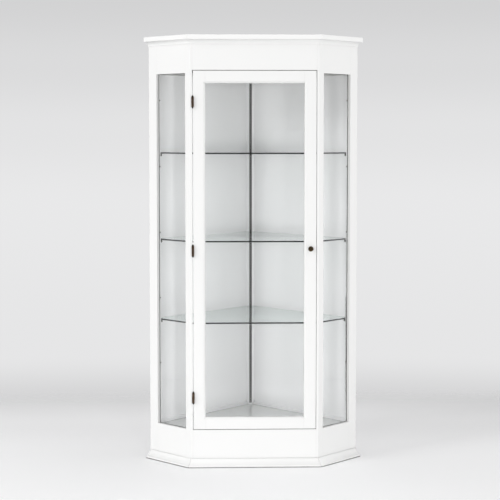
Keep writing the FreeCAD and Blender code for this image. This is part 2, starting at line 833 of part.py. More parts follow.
def hinge_leaf(name, left, centre, knuckle_lows, knuckle, screws):
    """Leaf flat in the gap beside the door, joined by webs to its knuckles on the hinge line."""
    low = centre - dim.leaf_height / 2
    parts = [box(name + "_plate", dim.leaf, dim.leaf_width, dim.leaf_height, left, 0, low)]
    for knuckle_low in knuckle_lows:
        web = box(name + "_web", dim.leaf, -hinge_y, knuckle, left, hinge_y, knuckle_low)
        barrel = rod(name + "_knuckle", dim.barrel_radius, knuckle, hinge_x, hinge_y, knuckle_low)
        parts += [web, barrel]
    whole_leaf = doc.addObject("Part::MultiFuse", name + "_fused")
    whole_leaf.Shapes = parts
    bore_radius = dim.pin_radius + dim.pin_clearance
    bore = rod(name + "_bore", bore_radius, dim.leaf_height, hinge_x, hinge_y, low)
    nearby = [spot for spot in screws.spots if abs((spot[2] - centre).value) < dim.leaf_height.value]
    node(cut(name, whole_leaf, [bore] + screws.holes(nearby)), name)


def hinge_pin(centre):
    """Pin with a tapered finial at each end."""
    half = dim.leaf_height / 2
    rim = dim.barrel_radius - dim.leaf / 2
    tip = dim.pin_radius / 2
    end = half + dim.finial
    outline = [
        (0, -end),
        (tip, -end),
        (rim, -half - dim.leaf),
        (rim, -half),
        (dim.pin_radius, -half),
        (dim.pin_radius, half),
        (rim, half),
        (rim, half + dim.leaf),
        (tip, end),
        (0, end),
    ]
    return place(turned("hinge_pin", outline), hinge_x, hinge_y, centre)


def hinges():
    """Three butt hinges: outer knuckles on the frame, the middle one on the door."""
    knuckle = dim.leaf_height / 3 - dim.knuckle_gap
    for centre, level in zip(hinge_heights, ("low", "mid", "high")):
        outer = [centre - dim.leaf_height / 2, centre + dim.leaf_height / 2 - knuckle]
        hinge_leaf(f"hinge_frame_leaf_{level}", -half_opening, centre, outer, knuckle, frame_screws)
        hinge_leaf(f"hinge_door_leaf_{level}", door_left - dim.leaf, centre,
                   [centre - knuckle / 2], knuckle, door_screws)
    node(group("hinge_pins", [hinge_pin(centre) for centre in hinge_heights]), "hinge_pins")


# ---- Knob and catch ------------------------------------------------------------


def knob():
    """Turned knob with a foot, a neck, a domed head and a threaded hole for its screw."""
    hole = dim.knob_screw + dim.hole_clearance
    neck_top = dim.knob_reach - dim.knob_radius
    widest = dim.knob_reach - dim.knob_radius / 2
    outline = [
        (hole, 0),
        (dim.knob_foot, 0),
        (dim.knob_foot, dim.knob_foot_height),
        (dim.knob_neck, dim.knob_foot_height * 2),
        (dim.knob_neck, neck_top - dim.knob_foot_height),
        (dim.knob_radius, widest),
        (0, dim.knob_reach),
        (0, dim.knob_thread),
        (hole, dim.knob_thread),
    ]
    rise = dim.knob_reach - widest
    dome = (dim.knob_radius * dim.knob_radius + rise * rise) / (rise * 2)
    bends = {4: dim.knob_radius, 5: dome}
    body = turned("knob", outline, bends)
    node(place(body, knob_x, 0, dim.knob_height, toward(0, -1, 0)), "knob")


def catch():
    """Magnetic catch under the ceiling board and its strike plate on the back of the door."""
    body = box("catch_block", dim.catch_length, dim.catch_depth, dim.catch_height,
               catch_x - dim.catch_length / 2, catch_y, side_opening_top - dim.catch_height)
    node(cut("magnet_catch", body, catch_screws.holes(catch_screws.spots)), "magnet_catch")
    low = side_opening_top - (dim.catch_height + dim.strike_height) / 2
    plate = box("strike_blank", dim.strike_length, dim.strike, dim.strike_height,
                catch_x - dim.strike_length / 2, dim.door_thickness, low)
    node(cut("strike_plate", plate, strike_screws.holes(strike_screws.spots)), "strike_plate")


# ---- Shelves -------------------------------------------------------------------

SHELF_SLOTS = (("low", dim.low_slot), ("mid", dim.mid_slot), ("high", dim.high_slot))


def shelf_underside(slot):
    return standard_bottom + dim.slot_pitch * slot


def shelf(level, slot):
    """Glass shelf with the cabinet's plan, its rear corner clipped square."""
    side = dim.side_board + dim.shelf_side
    along = dim.shelf_front * ROOT_TWO - side
    rear = back_face - dim.shelf_back
    tip = half_front + rear * ROOT_TWO - shelf_rear
    points = [return_point(-1, along, side), return_point(1, along, side)]
    points += [return_point(1, rear, side), (tip, shelf_rear), (-tip, shelf_rear)]
    points += [return_point(-1, rear, side)]
    name = f"shelf_{level}"
    node(place(board(name, points, dim.shelf), 0, 0, shelf_underside(slot)), name)


def standard_places():
    """The three standards: name, plan point of the front face, and turn of the strip."""
    places = [("rear", (0, rear_standard), UPRIGHT, rear_standard_spots)]
    for hand, side in BOTH_SIDES:
        face = return_point(hand, back_face - dim.standard_thickness, standard_inward)
        places.append((side, face, FreeCAD.Rotation(UP, -45 * hand), outer_standard_spots[hand]))
    return places


def standard(side, face, turn, spots):
    """Slotted strip, drawn with its front face on local Y = 0 and its length along Z."""
    name = f"standard_{side}"
    half_width = dim.standard_width / 2
    points = rectangle(-half_width, 0, half_width, dim.standard_thickness)
    body = board(name, points, dim.slot_pitch * slot_count)
    slot = new_sketch(body, "XZ_Plane")
    low = (dim.slot_pitch - dim.slot_height) / 2
    draw_loop(slot, rectangle(-dim.slot_width / 2, low, dim.slot_width / 2, low + dim.slot_height))
    hole = pocket(body, slot, dim.standard_thickness)
    row = body.newObject("PartDesign::LinearPattern", name + "_row")
    row.Originals = [hole]
    upward = next(item for item in body.Origin.OriginFeatures if item.Role == "Z_Axis")
    row.Direction = (upward, [""])
    bind(row, "Length", dim.slot_pitch * (slot_count - 1))
    bind(row, "Occurrences", slot_count)
    body.Tip = row
    place(body, *face, standard_bottom, turn)
    node(cut(name, body, standard_screws.holes(spots)), name)


def clips():
    """Three clips under each shelf, one hooked into each standard."""
    hook_low = -(dim.slot_pitch + dim.slot_height) / 2
    outline = [
        (-dim.clip_reach, 0),
        (-dim.clip_reach, -dim.clip_tip),
        (0, -dim.clip_root),
        (0, hook_low),
        (dim.standard_thickness, hook_low),
        (dim.standard_thickness, hook_low + dim.hook_height),
        (0, hook_low + dim.hook_height),
        (0, 0),
    ]
    members = []
    for level, slot in SHELF_SLOTS:
        for side, face, turn, _ in standard_places():
            body = new_body(f"clip_{level}_{side}")
            sketch = new_sketch(body, "YZ_Plane")
            draw_loop(sketch, outline)
            pad(body, sketch, dim.clip_width, symmetric=True)
            members.append(place(body, *face, shelf_underside(slot), turn))
    node(group("shelf_clips", members), "shelf_clips")


# ---- Assembly ------------------------------------------------------------------

side_kick_top = dim.kick_height - dim.rebate
for hand, side in BOTH_SIDES:
    front_post(hand, side)
    outer_stile(hand, side)
    side_board(hand, f"side_kick_board_{side}", as_size(0), side_kick_top, side_kick_top)
    side_board(hand, f"side_frieze_board_{side}", side_opening_top + dim.rebate, underside_of_top,
               -dim.rebate)
    back_panel(hand, side)
    wall_strip(hand, side)
    side_glass(hand, side)
    side_beads(hand, side)
front_board("front_kick_board", as_size(0), dim.kick_height)
front_board("front_frieze_board", door_opening_top, underside_of_top)
corner_post()
inner_board("floor_board", floor_top - dim.floor_board, dim.floor_board)
inner_board("ceiling_board", side_opening_top, dim.ceiling, catch_screws.holes(catch_screws.spots))
top_panel()
moulding("cornice", cornice_profile(), dim.cornice_overhang, dim.overall_height - dim.cornice_height)
moulding("base_moulding", base_profile(), dim.base_overhang, as_size(0))
door_frame()
door_glass()
door_beads()
hinges()
knob()
catch()
for level, slot in SHELF_SLOTS:
    shelf(level, slot)
for strip in standard_places():
    standard(*strip)
clips()
for fastening in (frame_screws, door_screws, bead_screws, standard_screws, catch_screws,
                  strike_screws, knob_screws):
    node(group(f"{fastening.name}_screws", fastening.screws()), f"{fastening.name}_screws")

doc.recompute()
for item in doc.Objects:
    if "Invalid" in item.State or "Error" in item.State:
        raise RuntimeError(f"{item.Name} failed: {item.State}")
for item in nodes:
    if item.Shape.isNull() or not item.Shape.isValid():
        raise RuntimeError(f"{item.Label} has no valid shape")
for item in nodes:
    item.Shape.exportStep(f"parts/{item.Label}.step")
print(len(nodes), "sub-parts")
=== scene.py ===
import math

import bpy
import numpy as np
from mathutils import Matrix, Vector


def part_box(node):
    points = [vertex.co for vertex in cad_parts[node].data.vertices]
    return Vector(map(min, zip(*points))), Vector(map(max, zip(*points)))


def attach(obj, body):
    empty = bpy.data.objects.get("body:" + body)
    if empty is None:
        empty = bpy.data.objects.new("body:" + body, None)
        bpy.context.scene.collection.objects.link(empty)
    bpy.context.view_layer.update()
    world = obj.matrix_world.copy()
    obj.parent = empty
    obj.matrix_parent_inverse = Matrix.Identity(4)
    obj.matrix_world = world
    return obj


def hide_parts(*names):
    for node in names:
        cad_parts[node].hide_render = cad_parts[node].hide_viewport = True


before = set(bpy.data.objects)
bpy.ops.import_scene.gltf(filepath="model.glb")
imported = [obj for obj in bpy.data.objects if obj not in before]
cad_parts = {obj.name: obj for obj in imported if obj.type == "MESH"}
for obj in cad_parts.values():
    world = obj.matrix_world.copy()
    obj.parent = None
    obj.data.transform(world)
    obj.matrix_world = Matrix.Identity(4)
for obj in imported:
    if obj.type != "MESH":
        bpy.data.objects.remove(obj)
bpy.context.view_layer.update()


# ---- Carcass: posts, stiles, boards and panels ----------------------------------
# Solid wood and board, sprayed with several coats of white satin lacquer.
# The edges are eased with sandpaper before spraying, so each catches a thin line of light.

def link(tree, source, out, target, into):
    """Wires one socket to another."""
    tree.links.new(source.outputs[out], target.inputs[into])


def sprayed_film_group():
    """Sprayed lacquer over fine grain: a slow cloudiness in the colour, a finer one in the
    roughness, and a bump that adds orange peel to a grain stretched along the height.
    Joints, gaps and inner corners get a painted shade, darkest where they are most closed in."""
    tree = bpy.data.node_groups.new("sprayed_film", "ShaderNodeTree")
    face = tree.interface
    face.new_socket("Colour", in_out="INPUT", socket_type="NodeSocketColor")
    face.new_socket("Shade", in_out="INPUT", socket_type="NodeSocketColor")
    face.new_socket("CreaseShade", in_out="INPUT", socket_type="NodeSocketColor")
    face.new_socket("Gloss", in_out="INPUT", socket_type="NodeSocketFloat")
    face.new_socket("Colour", in_out="OUTPUT", socket_type="NodeSocketColor")
    face.new_socket("Roughness", in_out="OUTPUT", socket_type="NodeSocketFloat")
    face.new_socket("Normal", in_out="OUTPUT", socket_type="NodeSocketVector")
    inside = tree.nodes.new("NodeGroupInput")
    outside = tree.nodes.new("NodeGroupOutput")
    place = tree.nodes.new("ShaderNodeTexCoord")
    cloud = tree.nodes.new("ShaderNodeTexNoise")
    cloud.inputs["Scale"].default_value = 2.4
    cloud.inputs["Detail"].default_value = 3
    link(tree, place, "Object", cloud, "Vector")
    tint = tree.nodes.new("ShaderNodeMix")
    tint.data_type = "RGBA"
    link(tree, cloud, "Fac", tint, 0)
    link(tree, inside, "Colour", tint, 6)
    link(tree, inside, "Shade", tint, 7)
    # Painted shade: ambient occlusion mixes a dark colour into joints, gaps and inner corners.
    crease_shade = tree.nodes.new("ShaderNodeAmbientOcclusion")
    crease_shade.samples = 8
    crease_shade.inputs["Distance"].default_value = 0.009
    depth = tree.nodes.new("ShaderNodeMapRange")
    depth.inputs["From Min"].default_value = 0.2
    depth.inputs["From Max"].default_value = 0.49
    link(tree, crease_shade, "AO", depth, "Value")
    crease_shaded = tree.nodes.new("ShaderNodeMix")
    crease_shaded.data_type = "RGBA"
    link(tree, depth, "Result", crease_shaded, 0)
    link(tree, inside, "CreaseShade", crease_shaded, 6)
    link(tree, tint, 2, crease_shaded, 7)
    link(tree, crease_shaded, 2, outside, "Colour")
    peel = tree.nodes.new("ShaderNodeTexNoise")
    peel.inputs["Scale"].default_value = 260
    peel.inputs["Detail"].default_value = 2
    link(tree, place, "Object", peel, "Vector")
    spread = tree.nodes.new("ShaderNodeMath")
    spread.operation = "MULTIPLY_ADD"
    spread.inputs[1].default_value = 0.08
    link(tree, peel, "Fac", spread, 0)
    link(tree, inside, "Gloss", spread, 2)
    link(tree, spread, 0, outside, "Roughness")
    stretch = tree.nodes.new("ShaderNodeMapping")
    stretch.inputs["Scale"].default_value = (420, 420, 12)
    link(tree, place, "Object", stretch, "Vector")
    grain = tree.nodes.new("ShaderNodeTexNoise")
    grain.inputs["Scale"].default_value = 1
    grain.inputs["Detail"].default_value = 4
    link(tree, stretch, "Vector", grain, "Vector")
    both = tree.nodes.new("ShaderNodeMath")
    both.operation = "ADD"
    link(tree, peel, "Fac", both, 0)
    link(tree, grain, "Fac", both, 1)
    bump = tree.nodes.new("ShaderNodeBump")
    bump.inputs["Strength"].default_value = 0.06
    bump.inputs["Distance"].default_value = 0.0003
    link(tree, both, 0, bump, "Height")
    link(tree, bump, "Normal", outside, "Normal")
    return tree


sprayed_film = sprayed_film_group()


def new_material(name):
    """An empty node material and its Principled shader."""
    made = bpy.data.materials.new(name)
    made.use_nodes = True
    return made, made.node_tree, made.node_tree.nodes["Principled BSDF"]


def white_lacquer(name, colour, shade, gloss, coat, crease_shade=(0.1, 0.088, 0.07)):
    """White satin lacquer: the film group under a thin clear coat. COLOUR and SHADE are the two tones of its
    cloudiness, and the last argument is the colour of the painted shade laid into its joints and inner
    corners."""
    made, tree, shader = new_material(name)
    film = tree.nodes.new("ShaderNodeGroup")
    film.node_tree = sprayed_film
    film.inputs["Colour"].default_value = (*colour, 1)
    film.inputs["Shade"].default_value = (*shade, 1)
    film.inputs["CreaseShade"].default_value = (*crease_shade, 1)
    film.inputs["Gloss"].default_value = gloss
    link(tree, film, "Colour", shader, "Base Color")
    link(tree, film, "Roughness", shader, "Roughness")
    link(tree, film, "Normal", shader, "Normal")
    shader.inputs["Specular IOR Level"].default_value = 0.4
    shader.inputs["Coat Weight"].default_value = coat
    shader.inputs["Coat Roughness"].default_value = 0.25
    return made


def finish_node(name, material, eased=0.0, sharper_than=30):
    """Gives a CAD node its material and, where EASED isn't 0, a round of that size in metres on
    the edges that turn by more than SHARPER_THAN degrees."""
    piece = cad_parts[name]
    for slot in piece.material_slots:
        slot.material = material
    if eased:
        weld = piece.modifiers.new("joined", "WELD")
        weld.merge_threshold = 1e-5
        flat = piece.modifiers.new("flat_faces", "DECIMATE")
        flat.decimate_type = "DISSOLVE"
        flat.angle_limit = math.radians(1)
        round_off = piece.modifiers.new("eased", "BEVEL")
        round_off.width = eased
        round_off.segments = 3
        round_off.limit_method = "ANGLE"
        round_off.angle_limit = math.radians(sharper_than)
        round_off.use_clamp_overlap = False
        round_off.harden_normals = True


outer_white = white_lacquer("outer_lacquer", (0.8, 0.8, 0.795), (0.785, 0.785, 0.78), gloss=0.38, coat=0.1)
for side in ("left", "right"):
    for piece in ("front_post", "outer_stile", "side_kick_board", "side_frieze_board"):
        finish_node(f"{piece}_{side}", outer_white, eased=0.0005)
for piece in ("front_kick_board", "front_frieze_board", "top_panel"):
    finish_node(piece, outer_white, eased=0.0005)


# ---- Inside: backs, floor, ceiling, corner post and strips -----------------------
# Thin lacquered panels and boards, a little glossier than the outside because
# nobody rubs them down after the last coat.

# Painted light: the inside is the same lacquer as the outside, given a lighter white here.
inner_white_painted_lighter = white_lacquer("inner_lacquer_painted_lighter", (0.95, 0.95, 0.955), (0.935, 0.935, 0.94), gloss=0.3, coat=0.2)
# Painted shade: the floor board gets the same lacquer in a darker white.
floor_white_painted_darker = white_lacquer("floor_lacquer_painted_darker", (0.74, 0.75, 0.74), (0.72, 0.73, 0.72), gloss=0.1, coat=0.5)
for side in ("left", "right"):
    finish_node(f"back_panel_{side}", inner_white_painted_lighter)
    finish_node(f"wall_strip_{side}", inner_white_painted_lighter, eased=0.0008)
    finish_node(f"side_beads_{side}", inner_white_painted_lighter, eased=0.0005)
finish_node("corner_post", inner_white_painted_lighter)
# The ceiling board is given a grey about half as light as the other inside boards.
ceiling_grey = white_lacquer("ceiling_grey_lacquer", (0.5, 0.49, 0.47), (0.47, 0.46, 0.44), gloss=0.5, coat=0.05)
finish_node("ceiling_board", ceiling_grey, eased=0.0005)
finish_node("floor_board", floor_white_painted_darker, eased=0.0005)


# ---- Cornice and base moulding ---------------------------------------------------
# Wooden mouldings planed to a profile, mitred at the two front corners and glued round the carcass, then
# lacquered with the rest. The cornice gets a lighter painted shade in its creases; the base keeps the dark
# one, which also paints the shadow line along the floor.

# Painted light: the mouldings get the same lacquer as the carcass in a lighter white.
moulding_tones_painted_lighter = (0.83, 0.83, 0.825), (0.815, 0.815, 0.81)
light_crease_shade = (0.55, 0.54, 0.52)
# The cornice's creases get a lighter painted shade than the other lacquers.
cornice_white = white_lacquer("cornice_lacquer", *moulding_tones_painted_lighter, gloss=0.38, coat=0.1, crease_shade=light_crease_shade)
base_white = white_lacquer("base_lacquer", *moulding_tones_painted_lighter, gloss=0.38, coat=0.1)
for end in ("front", "left", "right"):
    finish_node(f"cornice_{end}", cornice_white, eased=0.0008)
    finish_node(f"base_moulding_{end}", base_white, eased=0.0035, sharper_than=80)


# ---- Door ------------------------------------------------------------------------
# Two full height stiles with rails between them, a bevel round the glass,
# and thin beads that hold the pane from behind.

for piece in ("door_hinge_stile", "door_lock_stile", "door_bottom_rail", "door_top_rail"):
    finish_node(piece, outer_white, eased=0.0006)
finish_node("door_beads", inner_white_painted_lighter, eased=0.0005)


# ---- Glass panes and shelves -----------------------------------------------------
# Float glass: 4 mm panes in the door and the sides, 6 mm shelves with ground edges.
# Iron in the glass makes long paths through it green, so the shelf edges look dark.

def float_glass(name, tint, passed, wave, edge=None):
    """Clear glass, never quite flat: WAVE makes what it mirrors a little wavy.
    Light on its way to other surfaces goes straight through as PASSED, weaker at a low angle by
    what each face mirrors. An EDGE colour darkens the upright faces of a shelf."""
    made, tree, shader = new_material(name)
    shader.inputs["Base Color"].default_value = (*tint, 1)
    shader.inputs["Transmission Weight"].default_value = 1
    shader.inputs["IOR"].default_value = 1.5
    shader.inputs["Roughness"].default_value = 0
    place = tree.nodes.new("ShaderNodeTexCoord")
    ripple = tree.nodes.new("ShaderNodeTexNoise")
    ripple.inputs["Scale"].default_value = 2.5
    ripple.inputs["Detail"].default_value = 1
    link(tree, place, "Object", ripple, "Vector")
    wavy = tree.nodes.new("ShaderNodeBump")
    wavy.inputs["Strength"].default_value = 0.3
    wavy.inputs["Distance"].default_value = wave
    link(tree, ripple, "Fac", wavy, "Height")
    link(tree, wavy, "Normal", shader, "Normal")
    if edge:
        facing = tree.nodes.new("ShaderNodeSeparateXYZ")
        link(tree, place, "Normal", facing, "Vector")
        upright = tree.nodes.new("ShaderNodeMath")
        upright.operation = "ABSOLUTE"
        link(tree, facing, "Z", upright, 0)
        mask = tree.nodes.new("ShaderNodeMapRange")
        mask.inputs["From Min"].default_value = 0.3
        mask.inputs["From Max"].default_value = 0.8
        link(tree, upright, 0, mask, "Value")
        body = tree.nodes.new("ShaderNodeMix")
        body.data_type = "RGBA"
        body.inputs[6].default_value = (*edge, 1)
        body.inputs[7].default_value = (*tint, 1)
        link(tree, mask, "Result", body, 0)
        link(tree, body, 2, shader, "Base Color")
    slant = tree.nodes.new("ShaderNodeLayerWeight")
    mirrored = tree.nodes.new("ShaderNodeMath")
    mirrored.operation = "POWER"
    mirrored.inputs[1].default_value = 5
    link(tree, slant, "Facing", mirrored, 0)
    left_over = tree.nodes.new("ShaderNodeMix")
    left_over.data_type = "RGBA"
    left_over.inputs[6].default_value = (*passed, 1)
    left_over.inputs[7].default_value = (0, 0, 0, 1)
    link(tree, mirrored, 0, left_over, 0)
    clear = tree.nodes.new("ShaderNodeBsdfTransparent")
    link(tree, left_over, 2, clear, "Color")
    path = tree.nodes.new("ShaderNodeLightPath")
    either = tree.nodes.new("ShaderNodeMath")
    either.operation = "MAXIMUM"
    link(tree, path, "Is Shadow Ray", either, 0)
    link(tree, path, "Is Diffuse Ray", either, 1)
    mix = tree.nodes.new("ShaderNodeMixShader")
    link(tree, either, 0, mix, 0)
    link(tree, shader, "BSDF", mix, 1)
    link(tree, clear, "BSDF", mix, 2)
    link(tree, mix, "Shader", tree.nodes["Material Output"], "Surface")
    return made


pane_glass = float_glass("pane_glass", (0.988, 0.991, 0.995), (0.99, 0.99, 0.99), wave=0.002)
shelf_glass = float_glass("shelf_glass", (0.8, 0.87, 0.85), (0.96, 0.98, 0.97), wave=0.001,
                          edge=(0.004, 0.009, 0.007))
for piece in ("door_glass", "side_glass_left", "side_glass_right"):
    finish_node(piece, pane_glass)
for level in ("low", "mid", "high"):
    finish_node(f"shelf_{level}", shelf_glass, eased=0.0006)


# ---- Bronzed metal: hinges, standards and screws ---------------------------------
# Steel and brass toned dark brown, warmer where it is rubbed. The slotted standards are
# steel painted nearly black.

def bronzed(name, dark, worn, roughness, metal=1.0):
    """Toned metal: blotches from DARK to WORN, brighter where noise is high. A lower METAL makes it a paint."""
    made, tree, shader = new_material(name)
    place = tree.nodes.new("ShaderNodeTexCoord")
    blotch = tree.nodes.new("ShaderNodeTexNoise")
    blotch.inputs["Scale"].default_value = 300
    blotch.inputs["Detail"].default_value = 5
    link(tree, place, "Object", blotch, "Vector")
    ramp = tree.nodes.new("ShaderNodeValToRGB")
    ramp.color_ramp.elements[0].position = 0.35
    ramp.color_ramp.elements[0].color = (*dark, 1)
    ramp.color_ramp.elements[1].position = 0.75
    ramp.color_ramp.elements[1].color = (*worn, 1)
    link(tree, blotch, "Fac", ramp, "Fac")
    link(tree, ramp, "Color", shader, "Base Color")
    vary = tree.nodes.new("ShaderNodeMapRange")
    vary.inputs["To Min"].default_value = roughness
    vary.inputs["To Max"].default_value = roughness + 0.15
    link(tree, blotch, "Fac", vary, "Value")
    link(tree, vary, "Result", shader, "Roughness")
    bump = tree.nodes.new("ShaderNodeBump")
    bump.inputs["Strength"].default_value = 0.2
    bump.inputs["Distance"].default_value = 0.0001
    link(tree, blotch, "Fac", bump, "Height")
    link(tree, bump, "Normal", shader, "Normal")
    shader.inputs["Metallic"].default_value = metal
    return made


hinge_bronze = bronzed("hinge_bronze", (0.07, 0.045, 0.03), (0.27, 0.19, 0.135), roughness=0.3)
dark_bronze = bronzed("dark_bronze", (0.02, 0.019, 0.014), (0.06, 0.055, 0.04), roughness=0.4)
for level in ("low", "mid", "high"):
    finish_node(f"hinge_frame_leaf_{level}", hinge_bronze)
    finish_node(f"hinge_door_leaf_{level}", hinge_bronze)
for piece in ("hinge_pins", "hinge_frame_screws", "hinge_door_screws", "bead_screws"):
    finish_node(piece, dark_bronze)
strip_paint = bronzed("strip_paint", (0.006, 0.006, 0.005), (0.016, 0.015, 0.012), roughness=0.55, metal=0.2)
for piece in ("standard_left", "standard_right", "standard_rear", "standard_screws"):
    finish_node(piece, strip_paint)


# ---- Painted shadow lines round the side panes -----------------------------------
# A thin near-black fillet in the corner between each side pane and its frame, run round the opening: a
# painted shadow line where the frame shades the pane's edge. The returns start HALF_FRONT either side of the
# middle.

def surface(name, points, faces, material, body, smooth=True):
    """A new piece from computed points, with its material and body."""
    mesh = bpy.data.meshes.new(name)
    mesh.from_pydata(np.reshape(points, (-1, 3)).tolist(), [], faces)
    mesh.polygons.foreach_set("use_smooth", [smooth] * len(mesh.polygons))
    mesh.materials.append(material)
    piece = bpy.data.objects.new(name, mesh)
    bpy.context.scene.collection.objects.link(piece)
    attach(piece, body)
    return piece


def grid_faces(rows, columns, closed_rows, first=0):
    """Four sided faces between the neighbours of a grid whose rows are closed rings, and which
    may close on itself the other way too. FIRST is the number of the grid's first point."""
    row = np.arange(rows if closed_rows else rows - 1)
    i, j = np.meshgrid(row, np.arange(columns), indexing="ij")
    down, over = (i + 1) % rows, (j + 1) % columns
    corners = (i * columns + j, down * columns + j, down * columns + over, i * columns + over)
    return (np.stack(corners, axis=-1).reshape(-1, 4) + first).tolist()


half_front = 0.2675
front_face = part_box("front_post_left")[0][1]
# Near-black colour of the fillet that paints the shadow line round each side pane.
pane_shadow_dark = bronzed("pane_shadow_paint", (0.022, 0.02, 0.018), (0.034, 0.031, 0.028), roughness=0.5, metal=0)


def on_return(hand, along, inward, height):
    """Points of a 45 degree return: ALONG it from the front corner, INWARD from its face.
    HAND is -1 for the left return and 1 for the right one."""
    diagonal = math.sqrt(0.5)
    across = hand * (half_front + (along - inward) * diagonal)
    back = front_face + (along + inward) * diagonal
    return np.stack(np.broadcast_arrays(across, back, height), axis=-1)


def pane_shadow_line(hand, side):
    """A fillet carried round the opening. Its section is a right angle whose third side is a
    hollow quarter circle, mitred at the four corners of the opening."""
    near, far, low, high = 0.029, 0.203, 0.155, 1.644
    leg, pane_face, sunk = 0.0014, 0.014, 0.0003
    opening = np.array(((near, low), (far, low), (far, high), (near, high)))
    toward_middle = np.array(((1, 1), (-1, 1), (-1, -1), (1, -1)))
    turn = np.linspace(0, math.pi / 2, 7)
    over = np.concatenate(((-sunk, leg), leg * (1 - np.sin(turn[1:])), (-sunk,)))
    forward = np.concatenate(((0, 0), leg * (1 - np.cos(turn[1:])), (leg,)))
    loop = opening[:, None, :] + toward_middle[:, None, :] * over[None, :, None]
    points = on_return(hand, loop[..., 0], pane_face - forward[None, :], loop[..., 1])
    faces = grid_faces(len(opening), len(over), True)
    if hand > 0:
        faces = [face[::-1] for face in faces]
    surface(f"pane_shadow_line_{side}", points, faces, pane_shadow_dark, "cabinet", smooth=False)


pane_shadow_line(-1, "left")
pane_shadow_line(1, "right")


# ---- Shelf clips -----------------------------------------------------------------
# Cast steel clips, toned dark, hooked into the standards. A rounded pad at the end
# carries the glass.

def capped_tube(rows, columns, first=0):
    """Faces of a tube whose rings are the rows of a grid, with a flat cap at each end."""
    last = first + (rows - 1) * columns
    faces = grid_faces(rows, columns, False, first)
    faces.append(list(range(first, first + columns)))
    faces.append(list(range(last + columns - 1, last - 1, -1)))
    return faces


def squared_off(wave):
    """The square root of a sine or cosine with its sign kept: it squares off a circle."""
    return np.sign(wave) * np.abs(wave) ** 0.5


def shelf_clips():
    """Each clip is a thin web, its lower edge a sine curve that rises from the standard to the
    pad, and a pad, a cushion shape whose sides bulge by a superellipse. The three seats lie on
    the fronts of the standards, and the ways point from there under the glass."""
    slant = 0.7071
    seats = [np.array(place) for place in ((-0.4142, -0.1026), (0.4142, -0.1026), (0, 0.2794))]
    ways = [np.array(way) for way in ((slant, -slant), (-slant, -slant), (0, -1))]
    below_glass = 0.0002
    web_reach, web_end, web_swell, half_web = 0.0245, 0.0055, 0.0055, 0.0015
    pad_middle, half_length, half_width, half_height, fullness = 0.0235, 0.0085, 0.0065, 0.0055, 0.35
    share = np.linspace(0, 1, 13)
    reach = web_reach * share
    depth = web_end + web_swell * (0.5 + 0.5 * np.cos(math.pi * share))
    section = np.array(((-half_web, 0), (half_web, 0), (half_web, 1), (-half_web, 1)))
    ring = np.linspace(0, -2 * math.pi, 28, endpoint=False)
    rise = np.linspace(-1.5, 1.5, 9)
    swell = np.cos(rise) ** fullness
    along = half_length * squared_off(np.cos(ring))[None, :] * swell[:, None]
    across = half_width * squared_off(np.sin(ring))[None, :] * swell[:, None]
    points, faces, first = [], [], 0
    for level in ("low", "mid", "high"):
        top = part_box(f"shelf_{level}")[0][2] - below_glass
        for seat, way in zip(seats, ways):
            side = np.array((-way[1], way[0]))
            web = seat + reach[:, None, None] * way + section[None, :, :1] * side
            web_height = top - depth[:, None] * section[None, :, 1]
            pad = seat + way * pad_middle + along[..., None] * way + across[..., None] * side
            lift = top - half_height + half_height * squared_off(np.sin(rise))
            pad_height = np.broadcast_to(lift[:, None], along.shape)
            for plan, height in ((web, web_height), (pad, pad_height)):
                points.append(np.concatenate((plan, height[..., None]), axis=-1).reshape(-1, 3))
                faces += capped_tube(*height.shape, first)
                first += height.size
    clips = surface("shelf_clip_castings", np.concatenate(points), faces, dark_bronze, "cabinet")
    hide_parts("shelf_clips")


shelf_clips()


# ---- Knob ------------------------------------------------------------------------
# A small mushroom knob turned from solid brass and toned dark, held by a machine screw from behind.

def turned_knob():
    """The outline is carried round the knob's axis: a foot ring, a neck that is a hollow
    quarter circle, a rolled rim and a dome that is a shallow arc to the middle. Each point of
    the outline is a share of the radius and a share of the way out from the door."""
    low, high = (np.array(corner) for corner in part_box("knob"))
    middle = (low + high) / 2
    radius = (high[0] - low[0]) / 2
    back, front = high[1], low[1]
    reach = back - front
    turn = np.linspace(0, math.pi / 2, 12)
    roll = np.linspace(-1.0, 1.25, 14)
    arc = np.linspace(0.12, 1, 14) * math.pi / 2
    foot = np.array(((0.0, 0.0), (0.55, 0.0), (0.58, 0.02), (0.58, 0.07), (0.55, 0.09)))
    neck = np.stack((0.86 - 0.46 * np.cos(turn - 0.3), 0.12 + 0.36 * turn / turn[-1]), axis=-1)
    rim = np.stack((0.88 + 0.12 * np.cos(roll), 0.62 + 0.15 * np.sin(roll)), axis=-1)
    dome = np.stack((0.918 * np.cos(arc), 0.763 + 0.237 * np.sin(arc)), axis=-1)
    outline = np.concatenate((foot, neck, rim, dome))
    steps, least_share = 72, 2e-3
    around = np.linspace(0, -2 * math.pi, steps, endpoint=False)
    reached = radius * np.clip(outline[:, 0], least_share, 1)
    across = middle[0] + reached[:, None] * np.cos(around)
    upward = middle[2] + reached[:, None] * np.sin(around)
    forward = back - reach * outline[:, 1]
    points = np.stack(np.broadcast_arrays(across, forward[:, None], upward), axis=-1)
    faces = capped_tube(len(outline), steps)
    knob = surface("knob_turned", points, faces, knob_bronze, "door")
    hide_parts("knob")


knob_bronze = bronzed("knob_bronze", (0.06, 0.042, 0.022), (0.2, 0.15, 0.09), roughness=0.22)
turned_knob()


# ---- Catch and strike plate ------------------------------------------------------
# A white plastic magnetic catch under the ceiling board, and a zinc plated steel
# plate on the back of the door.

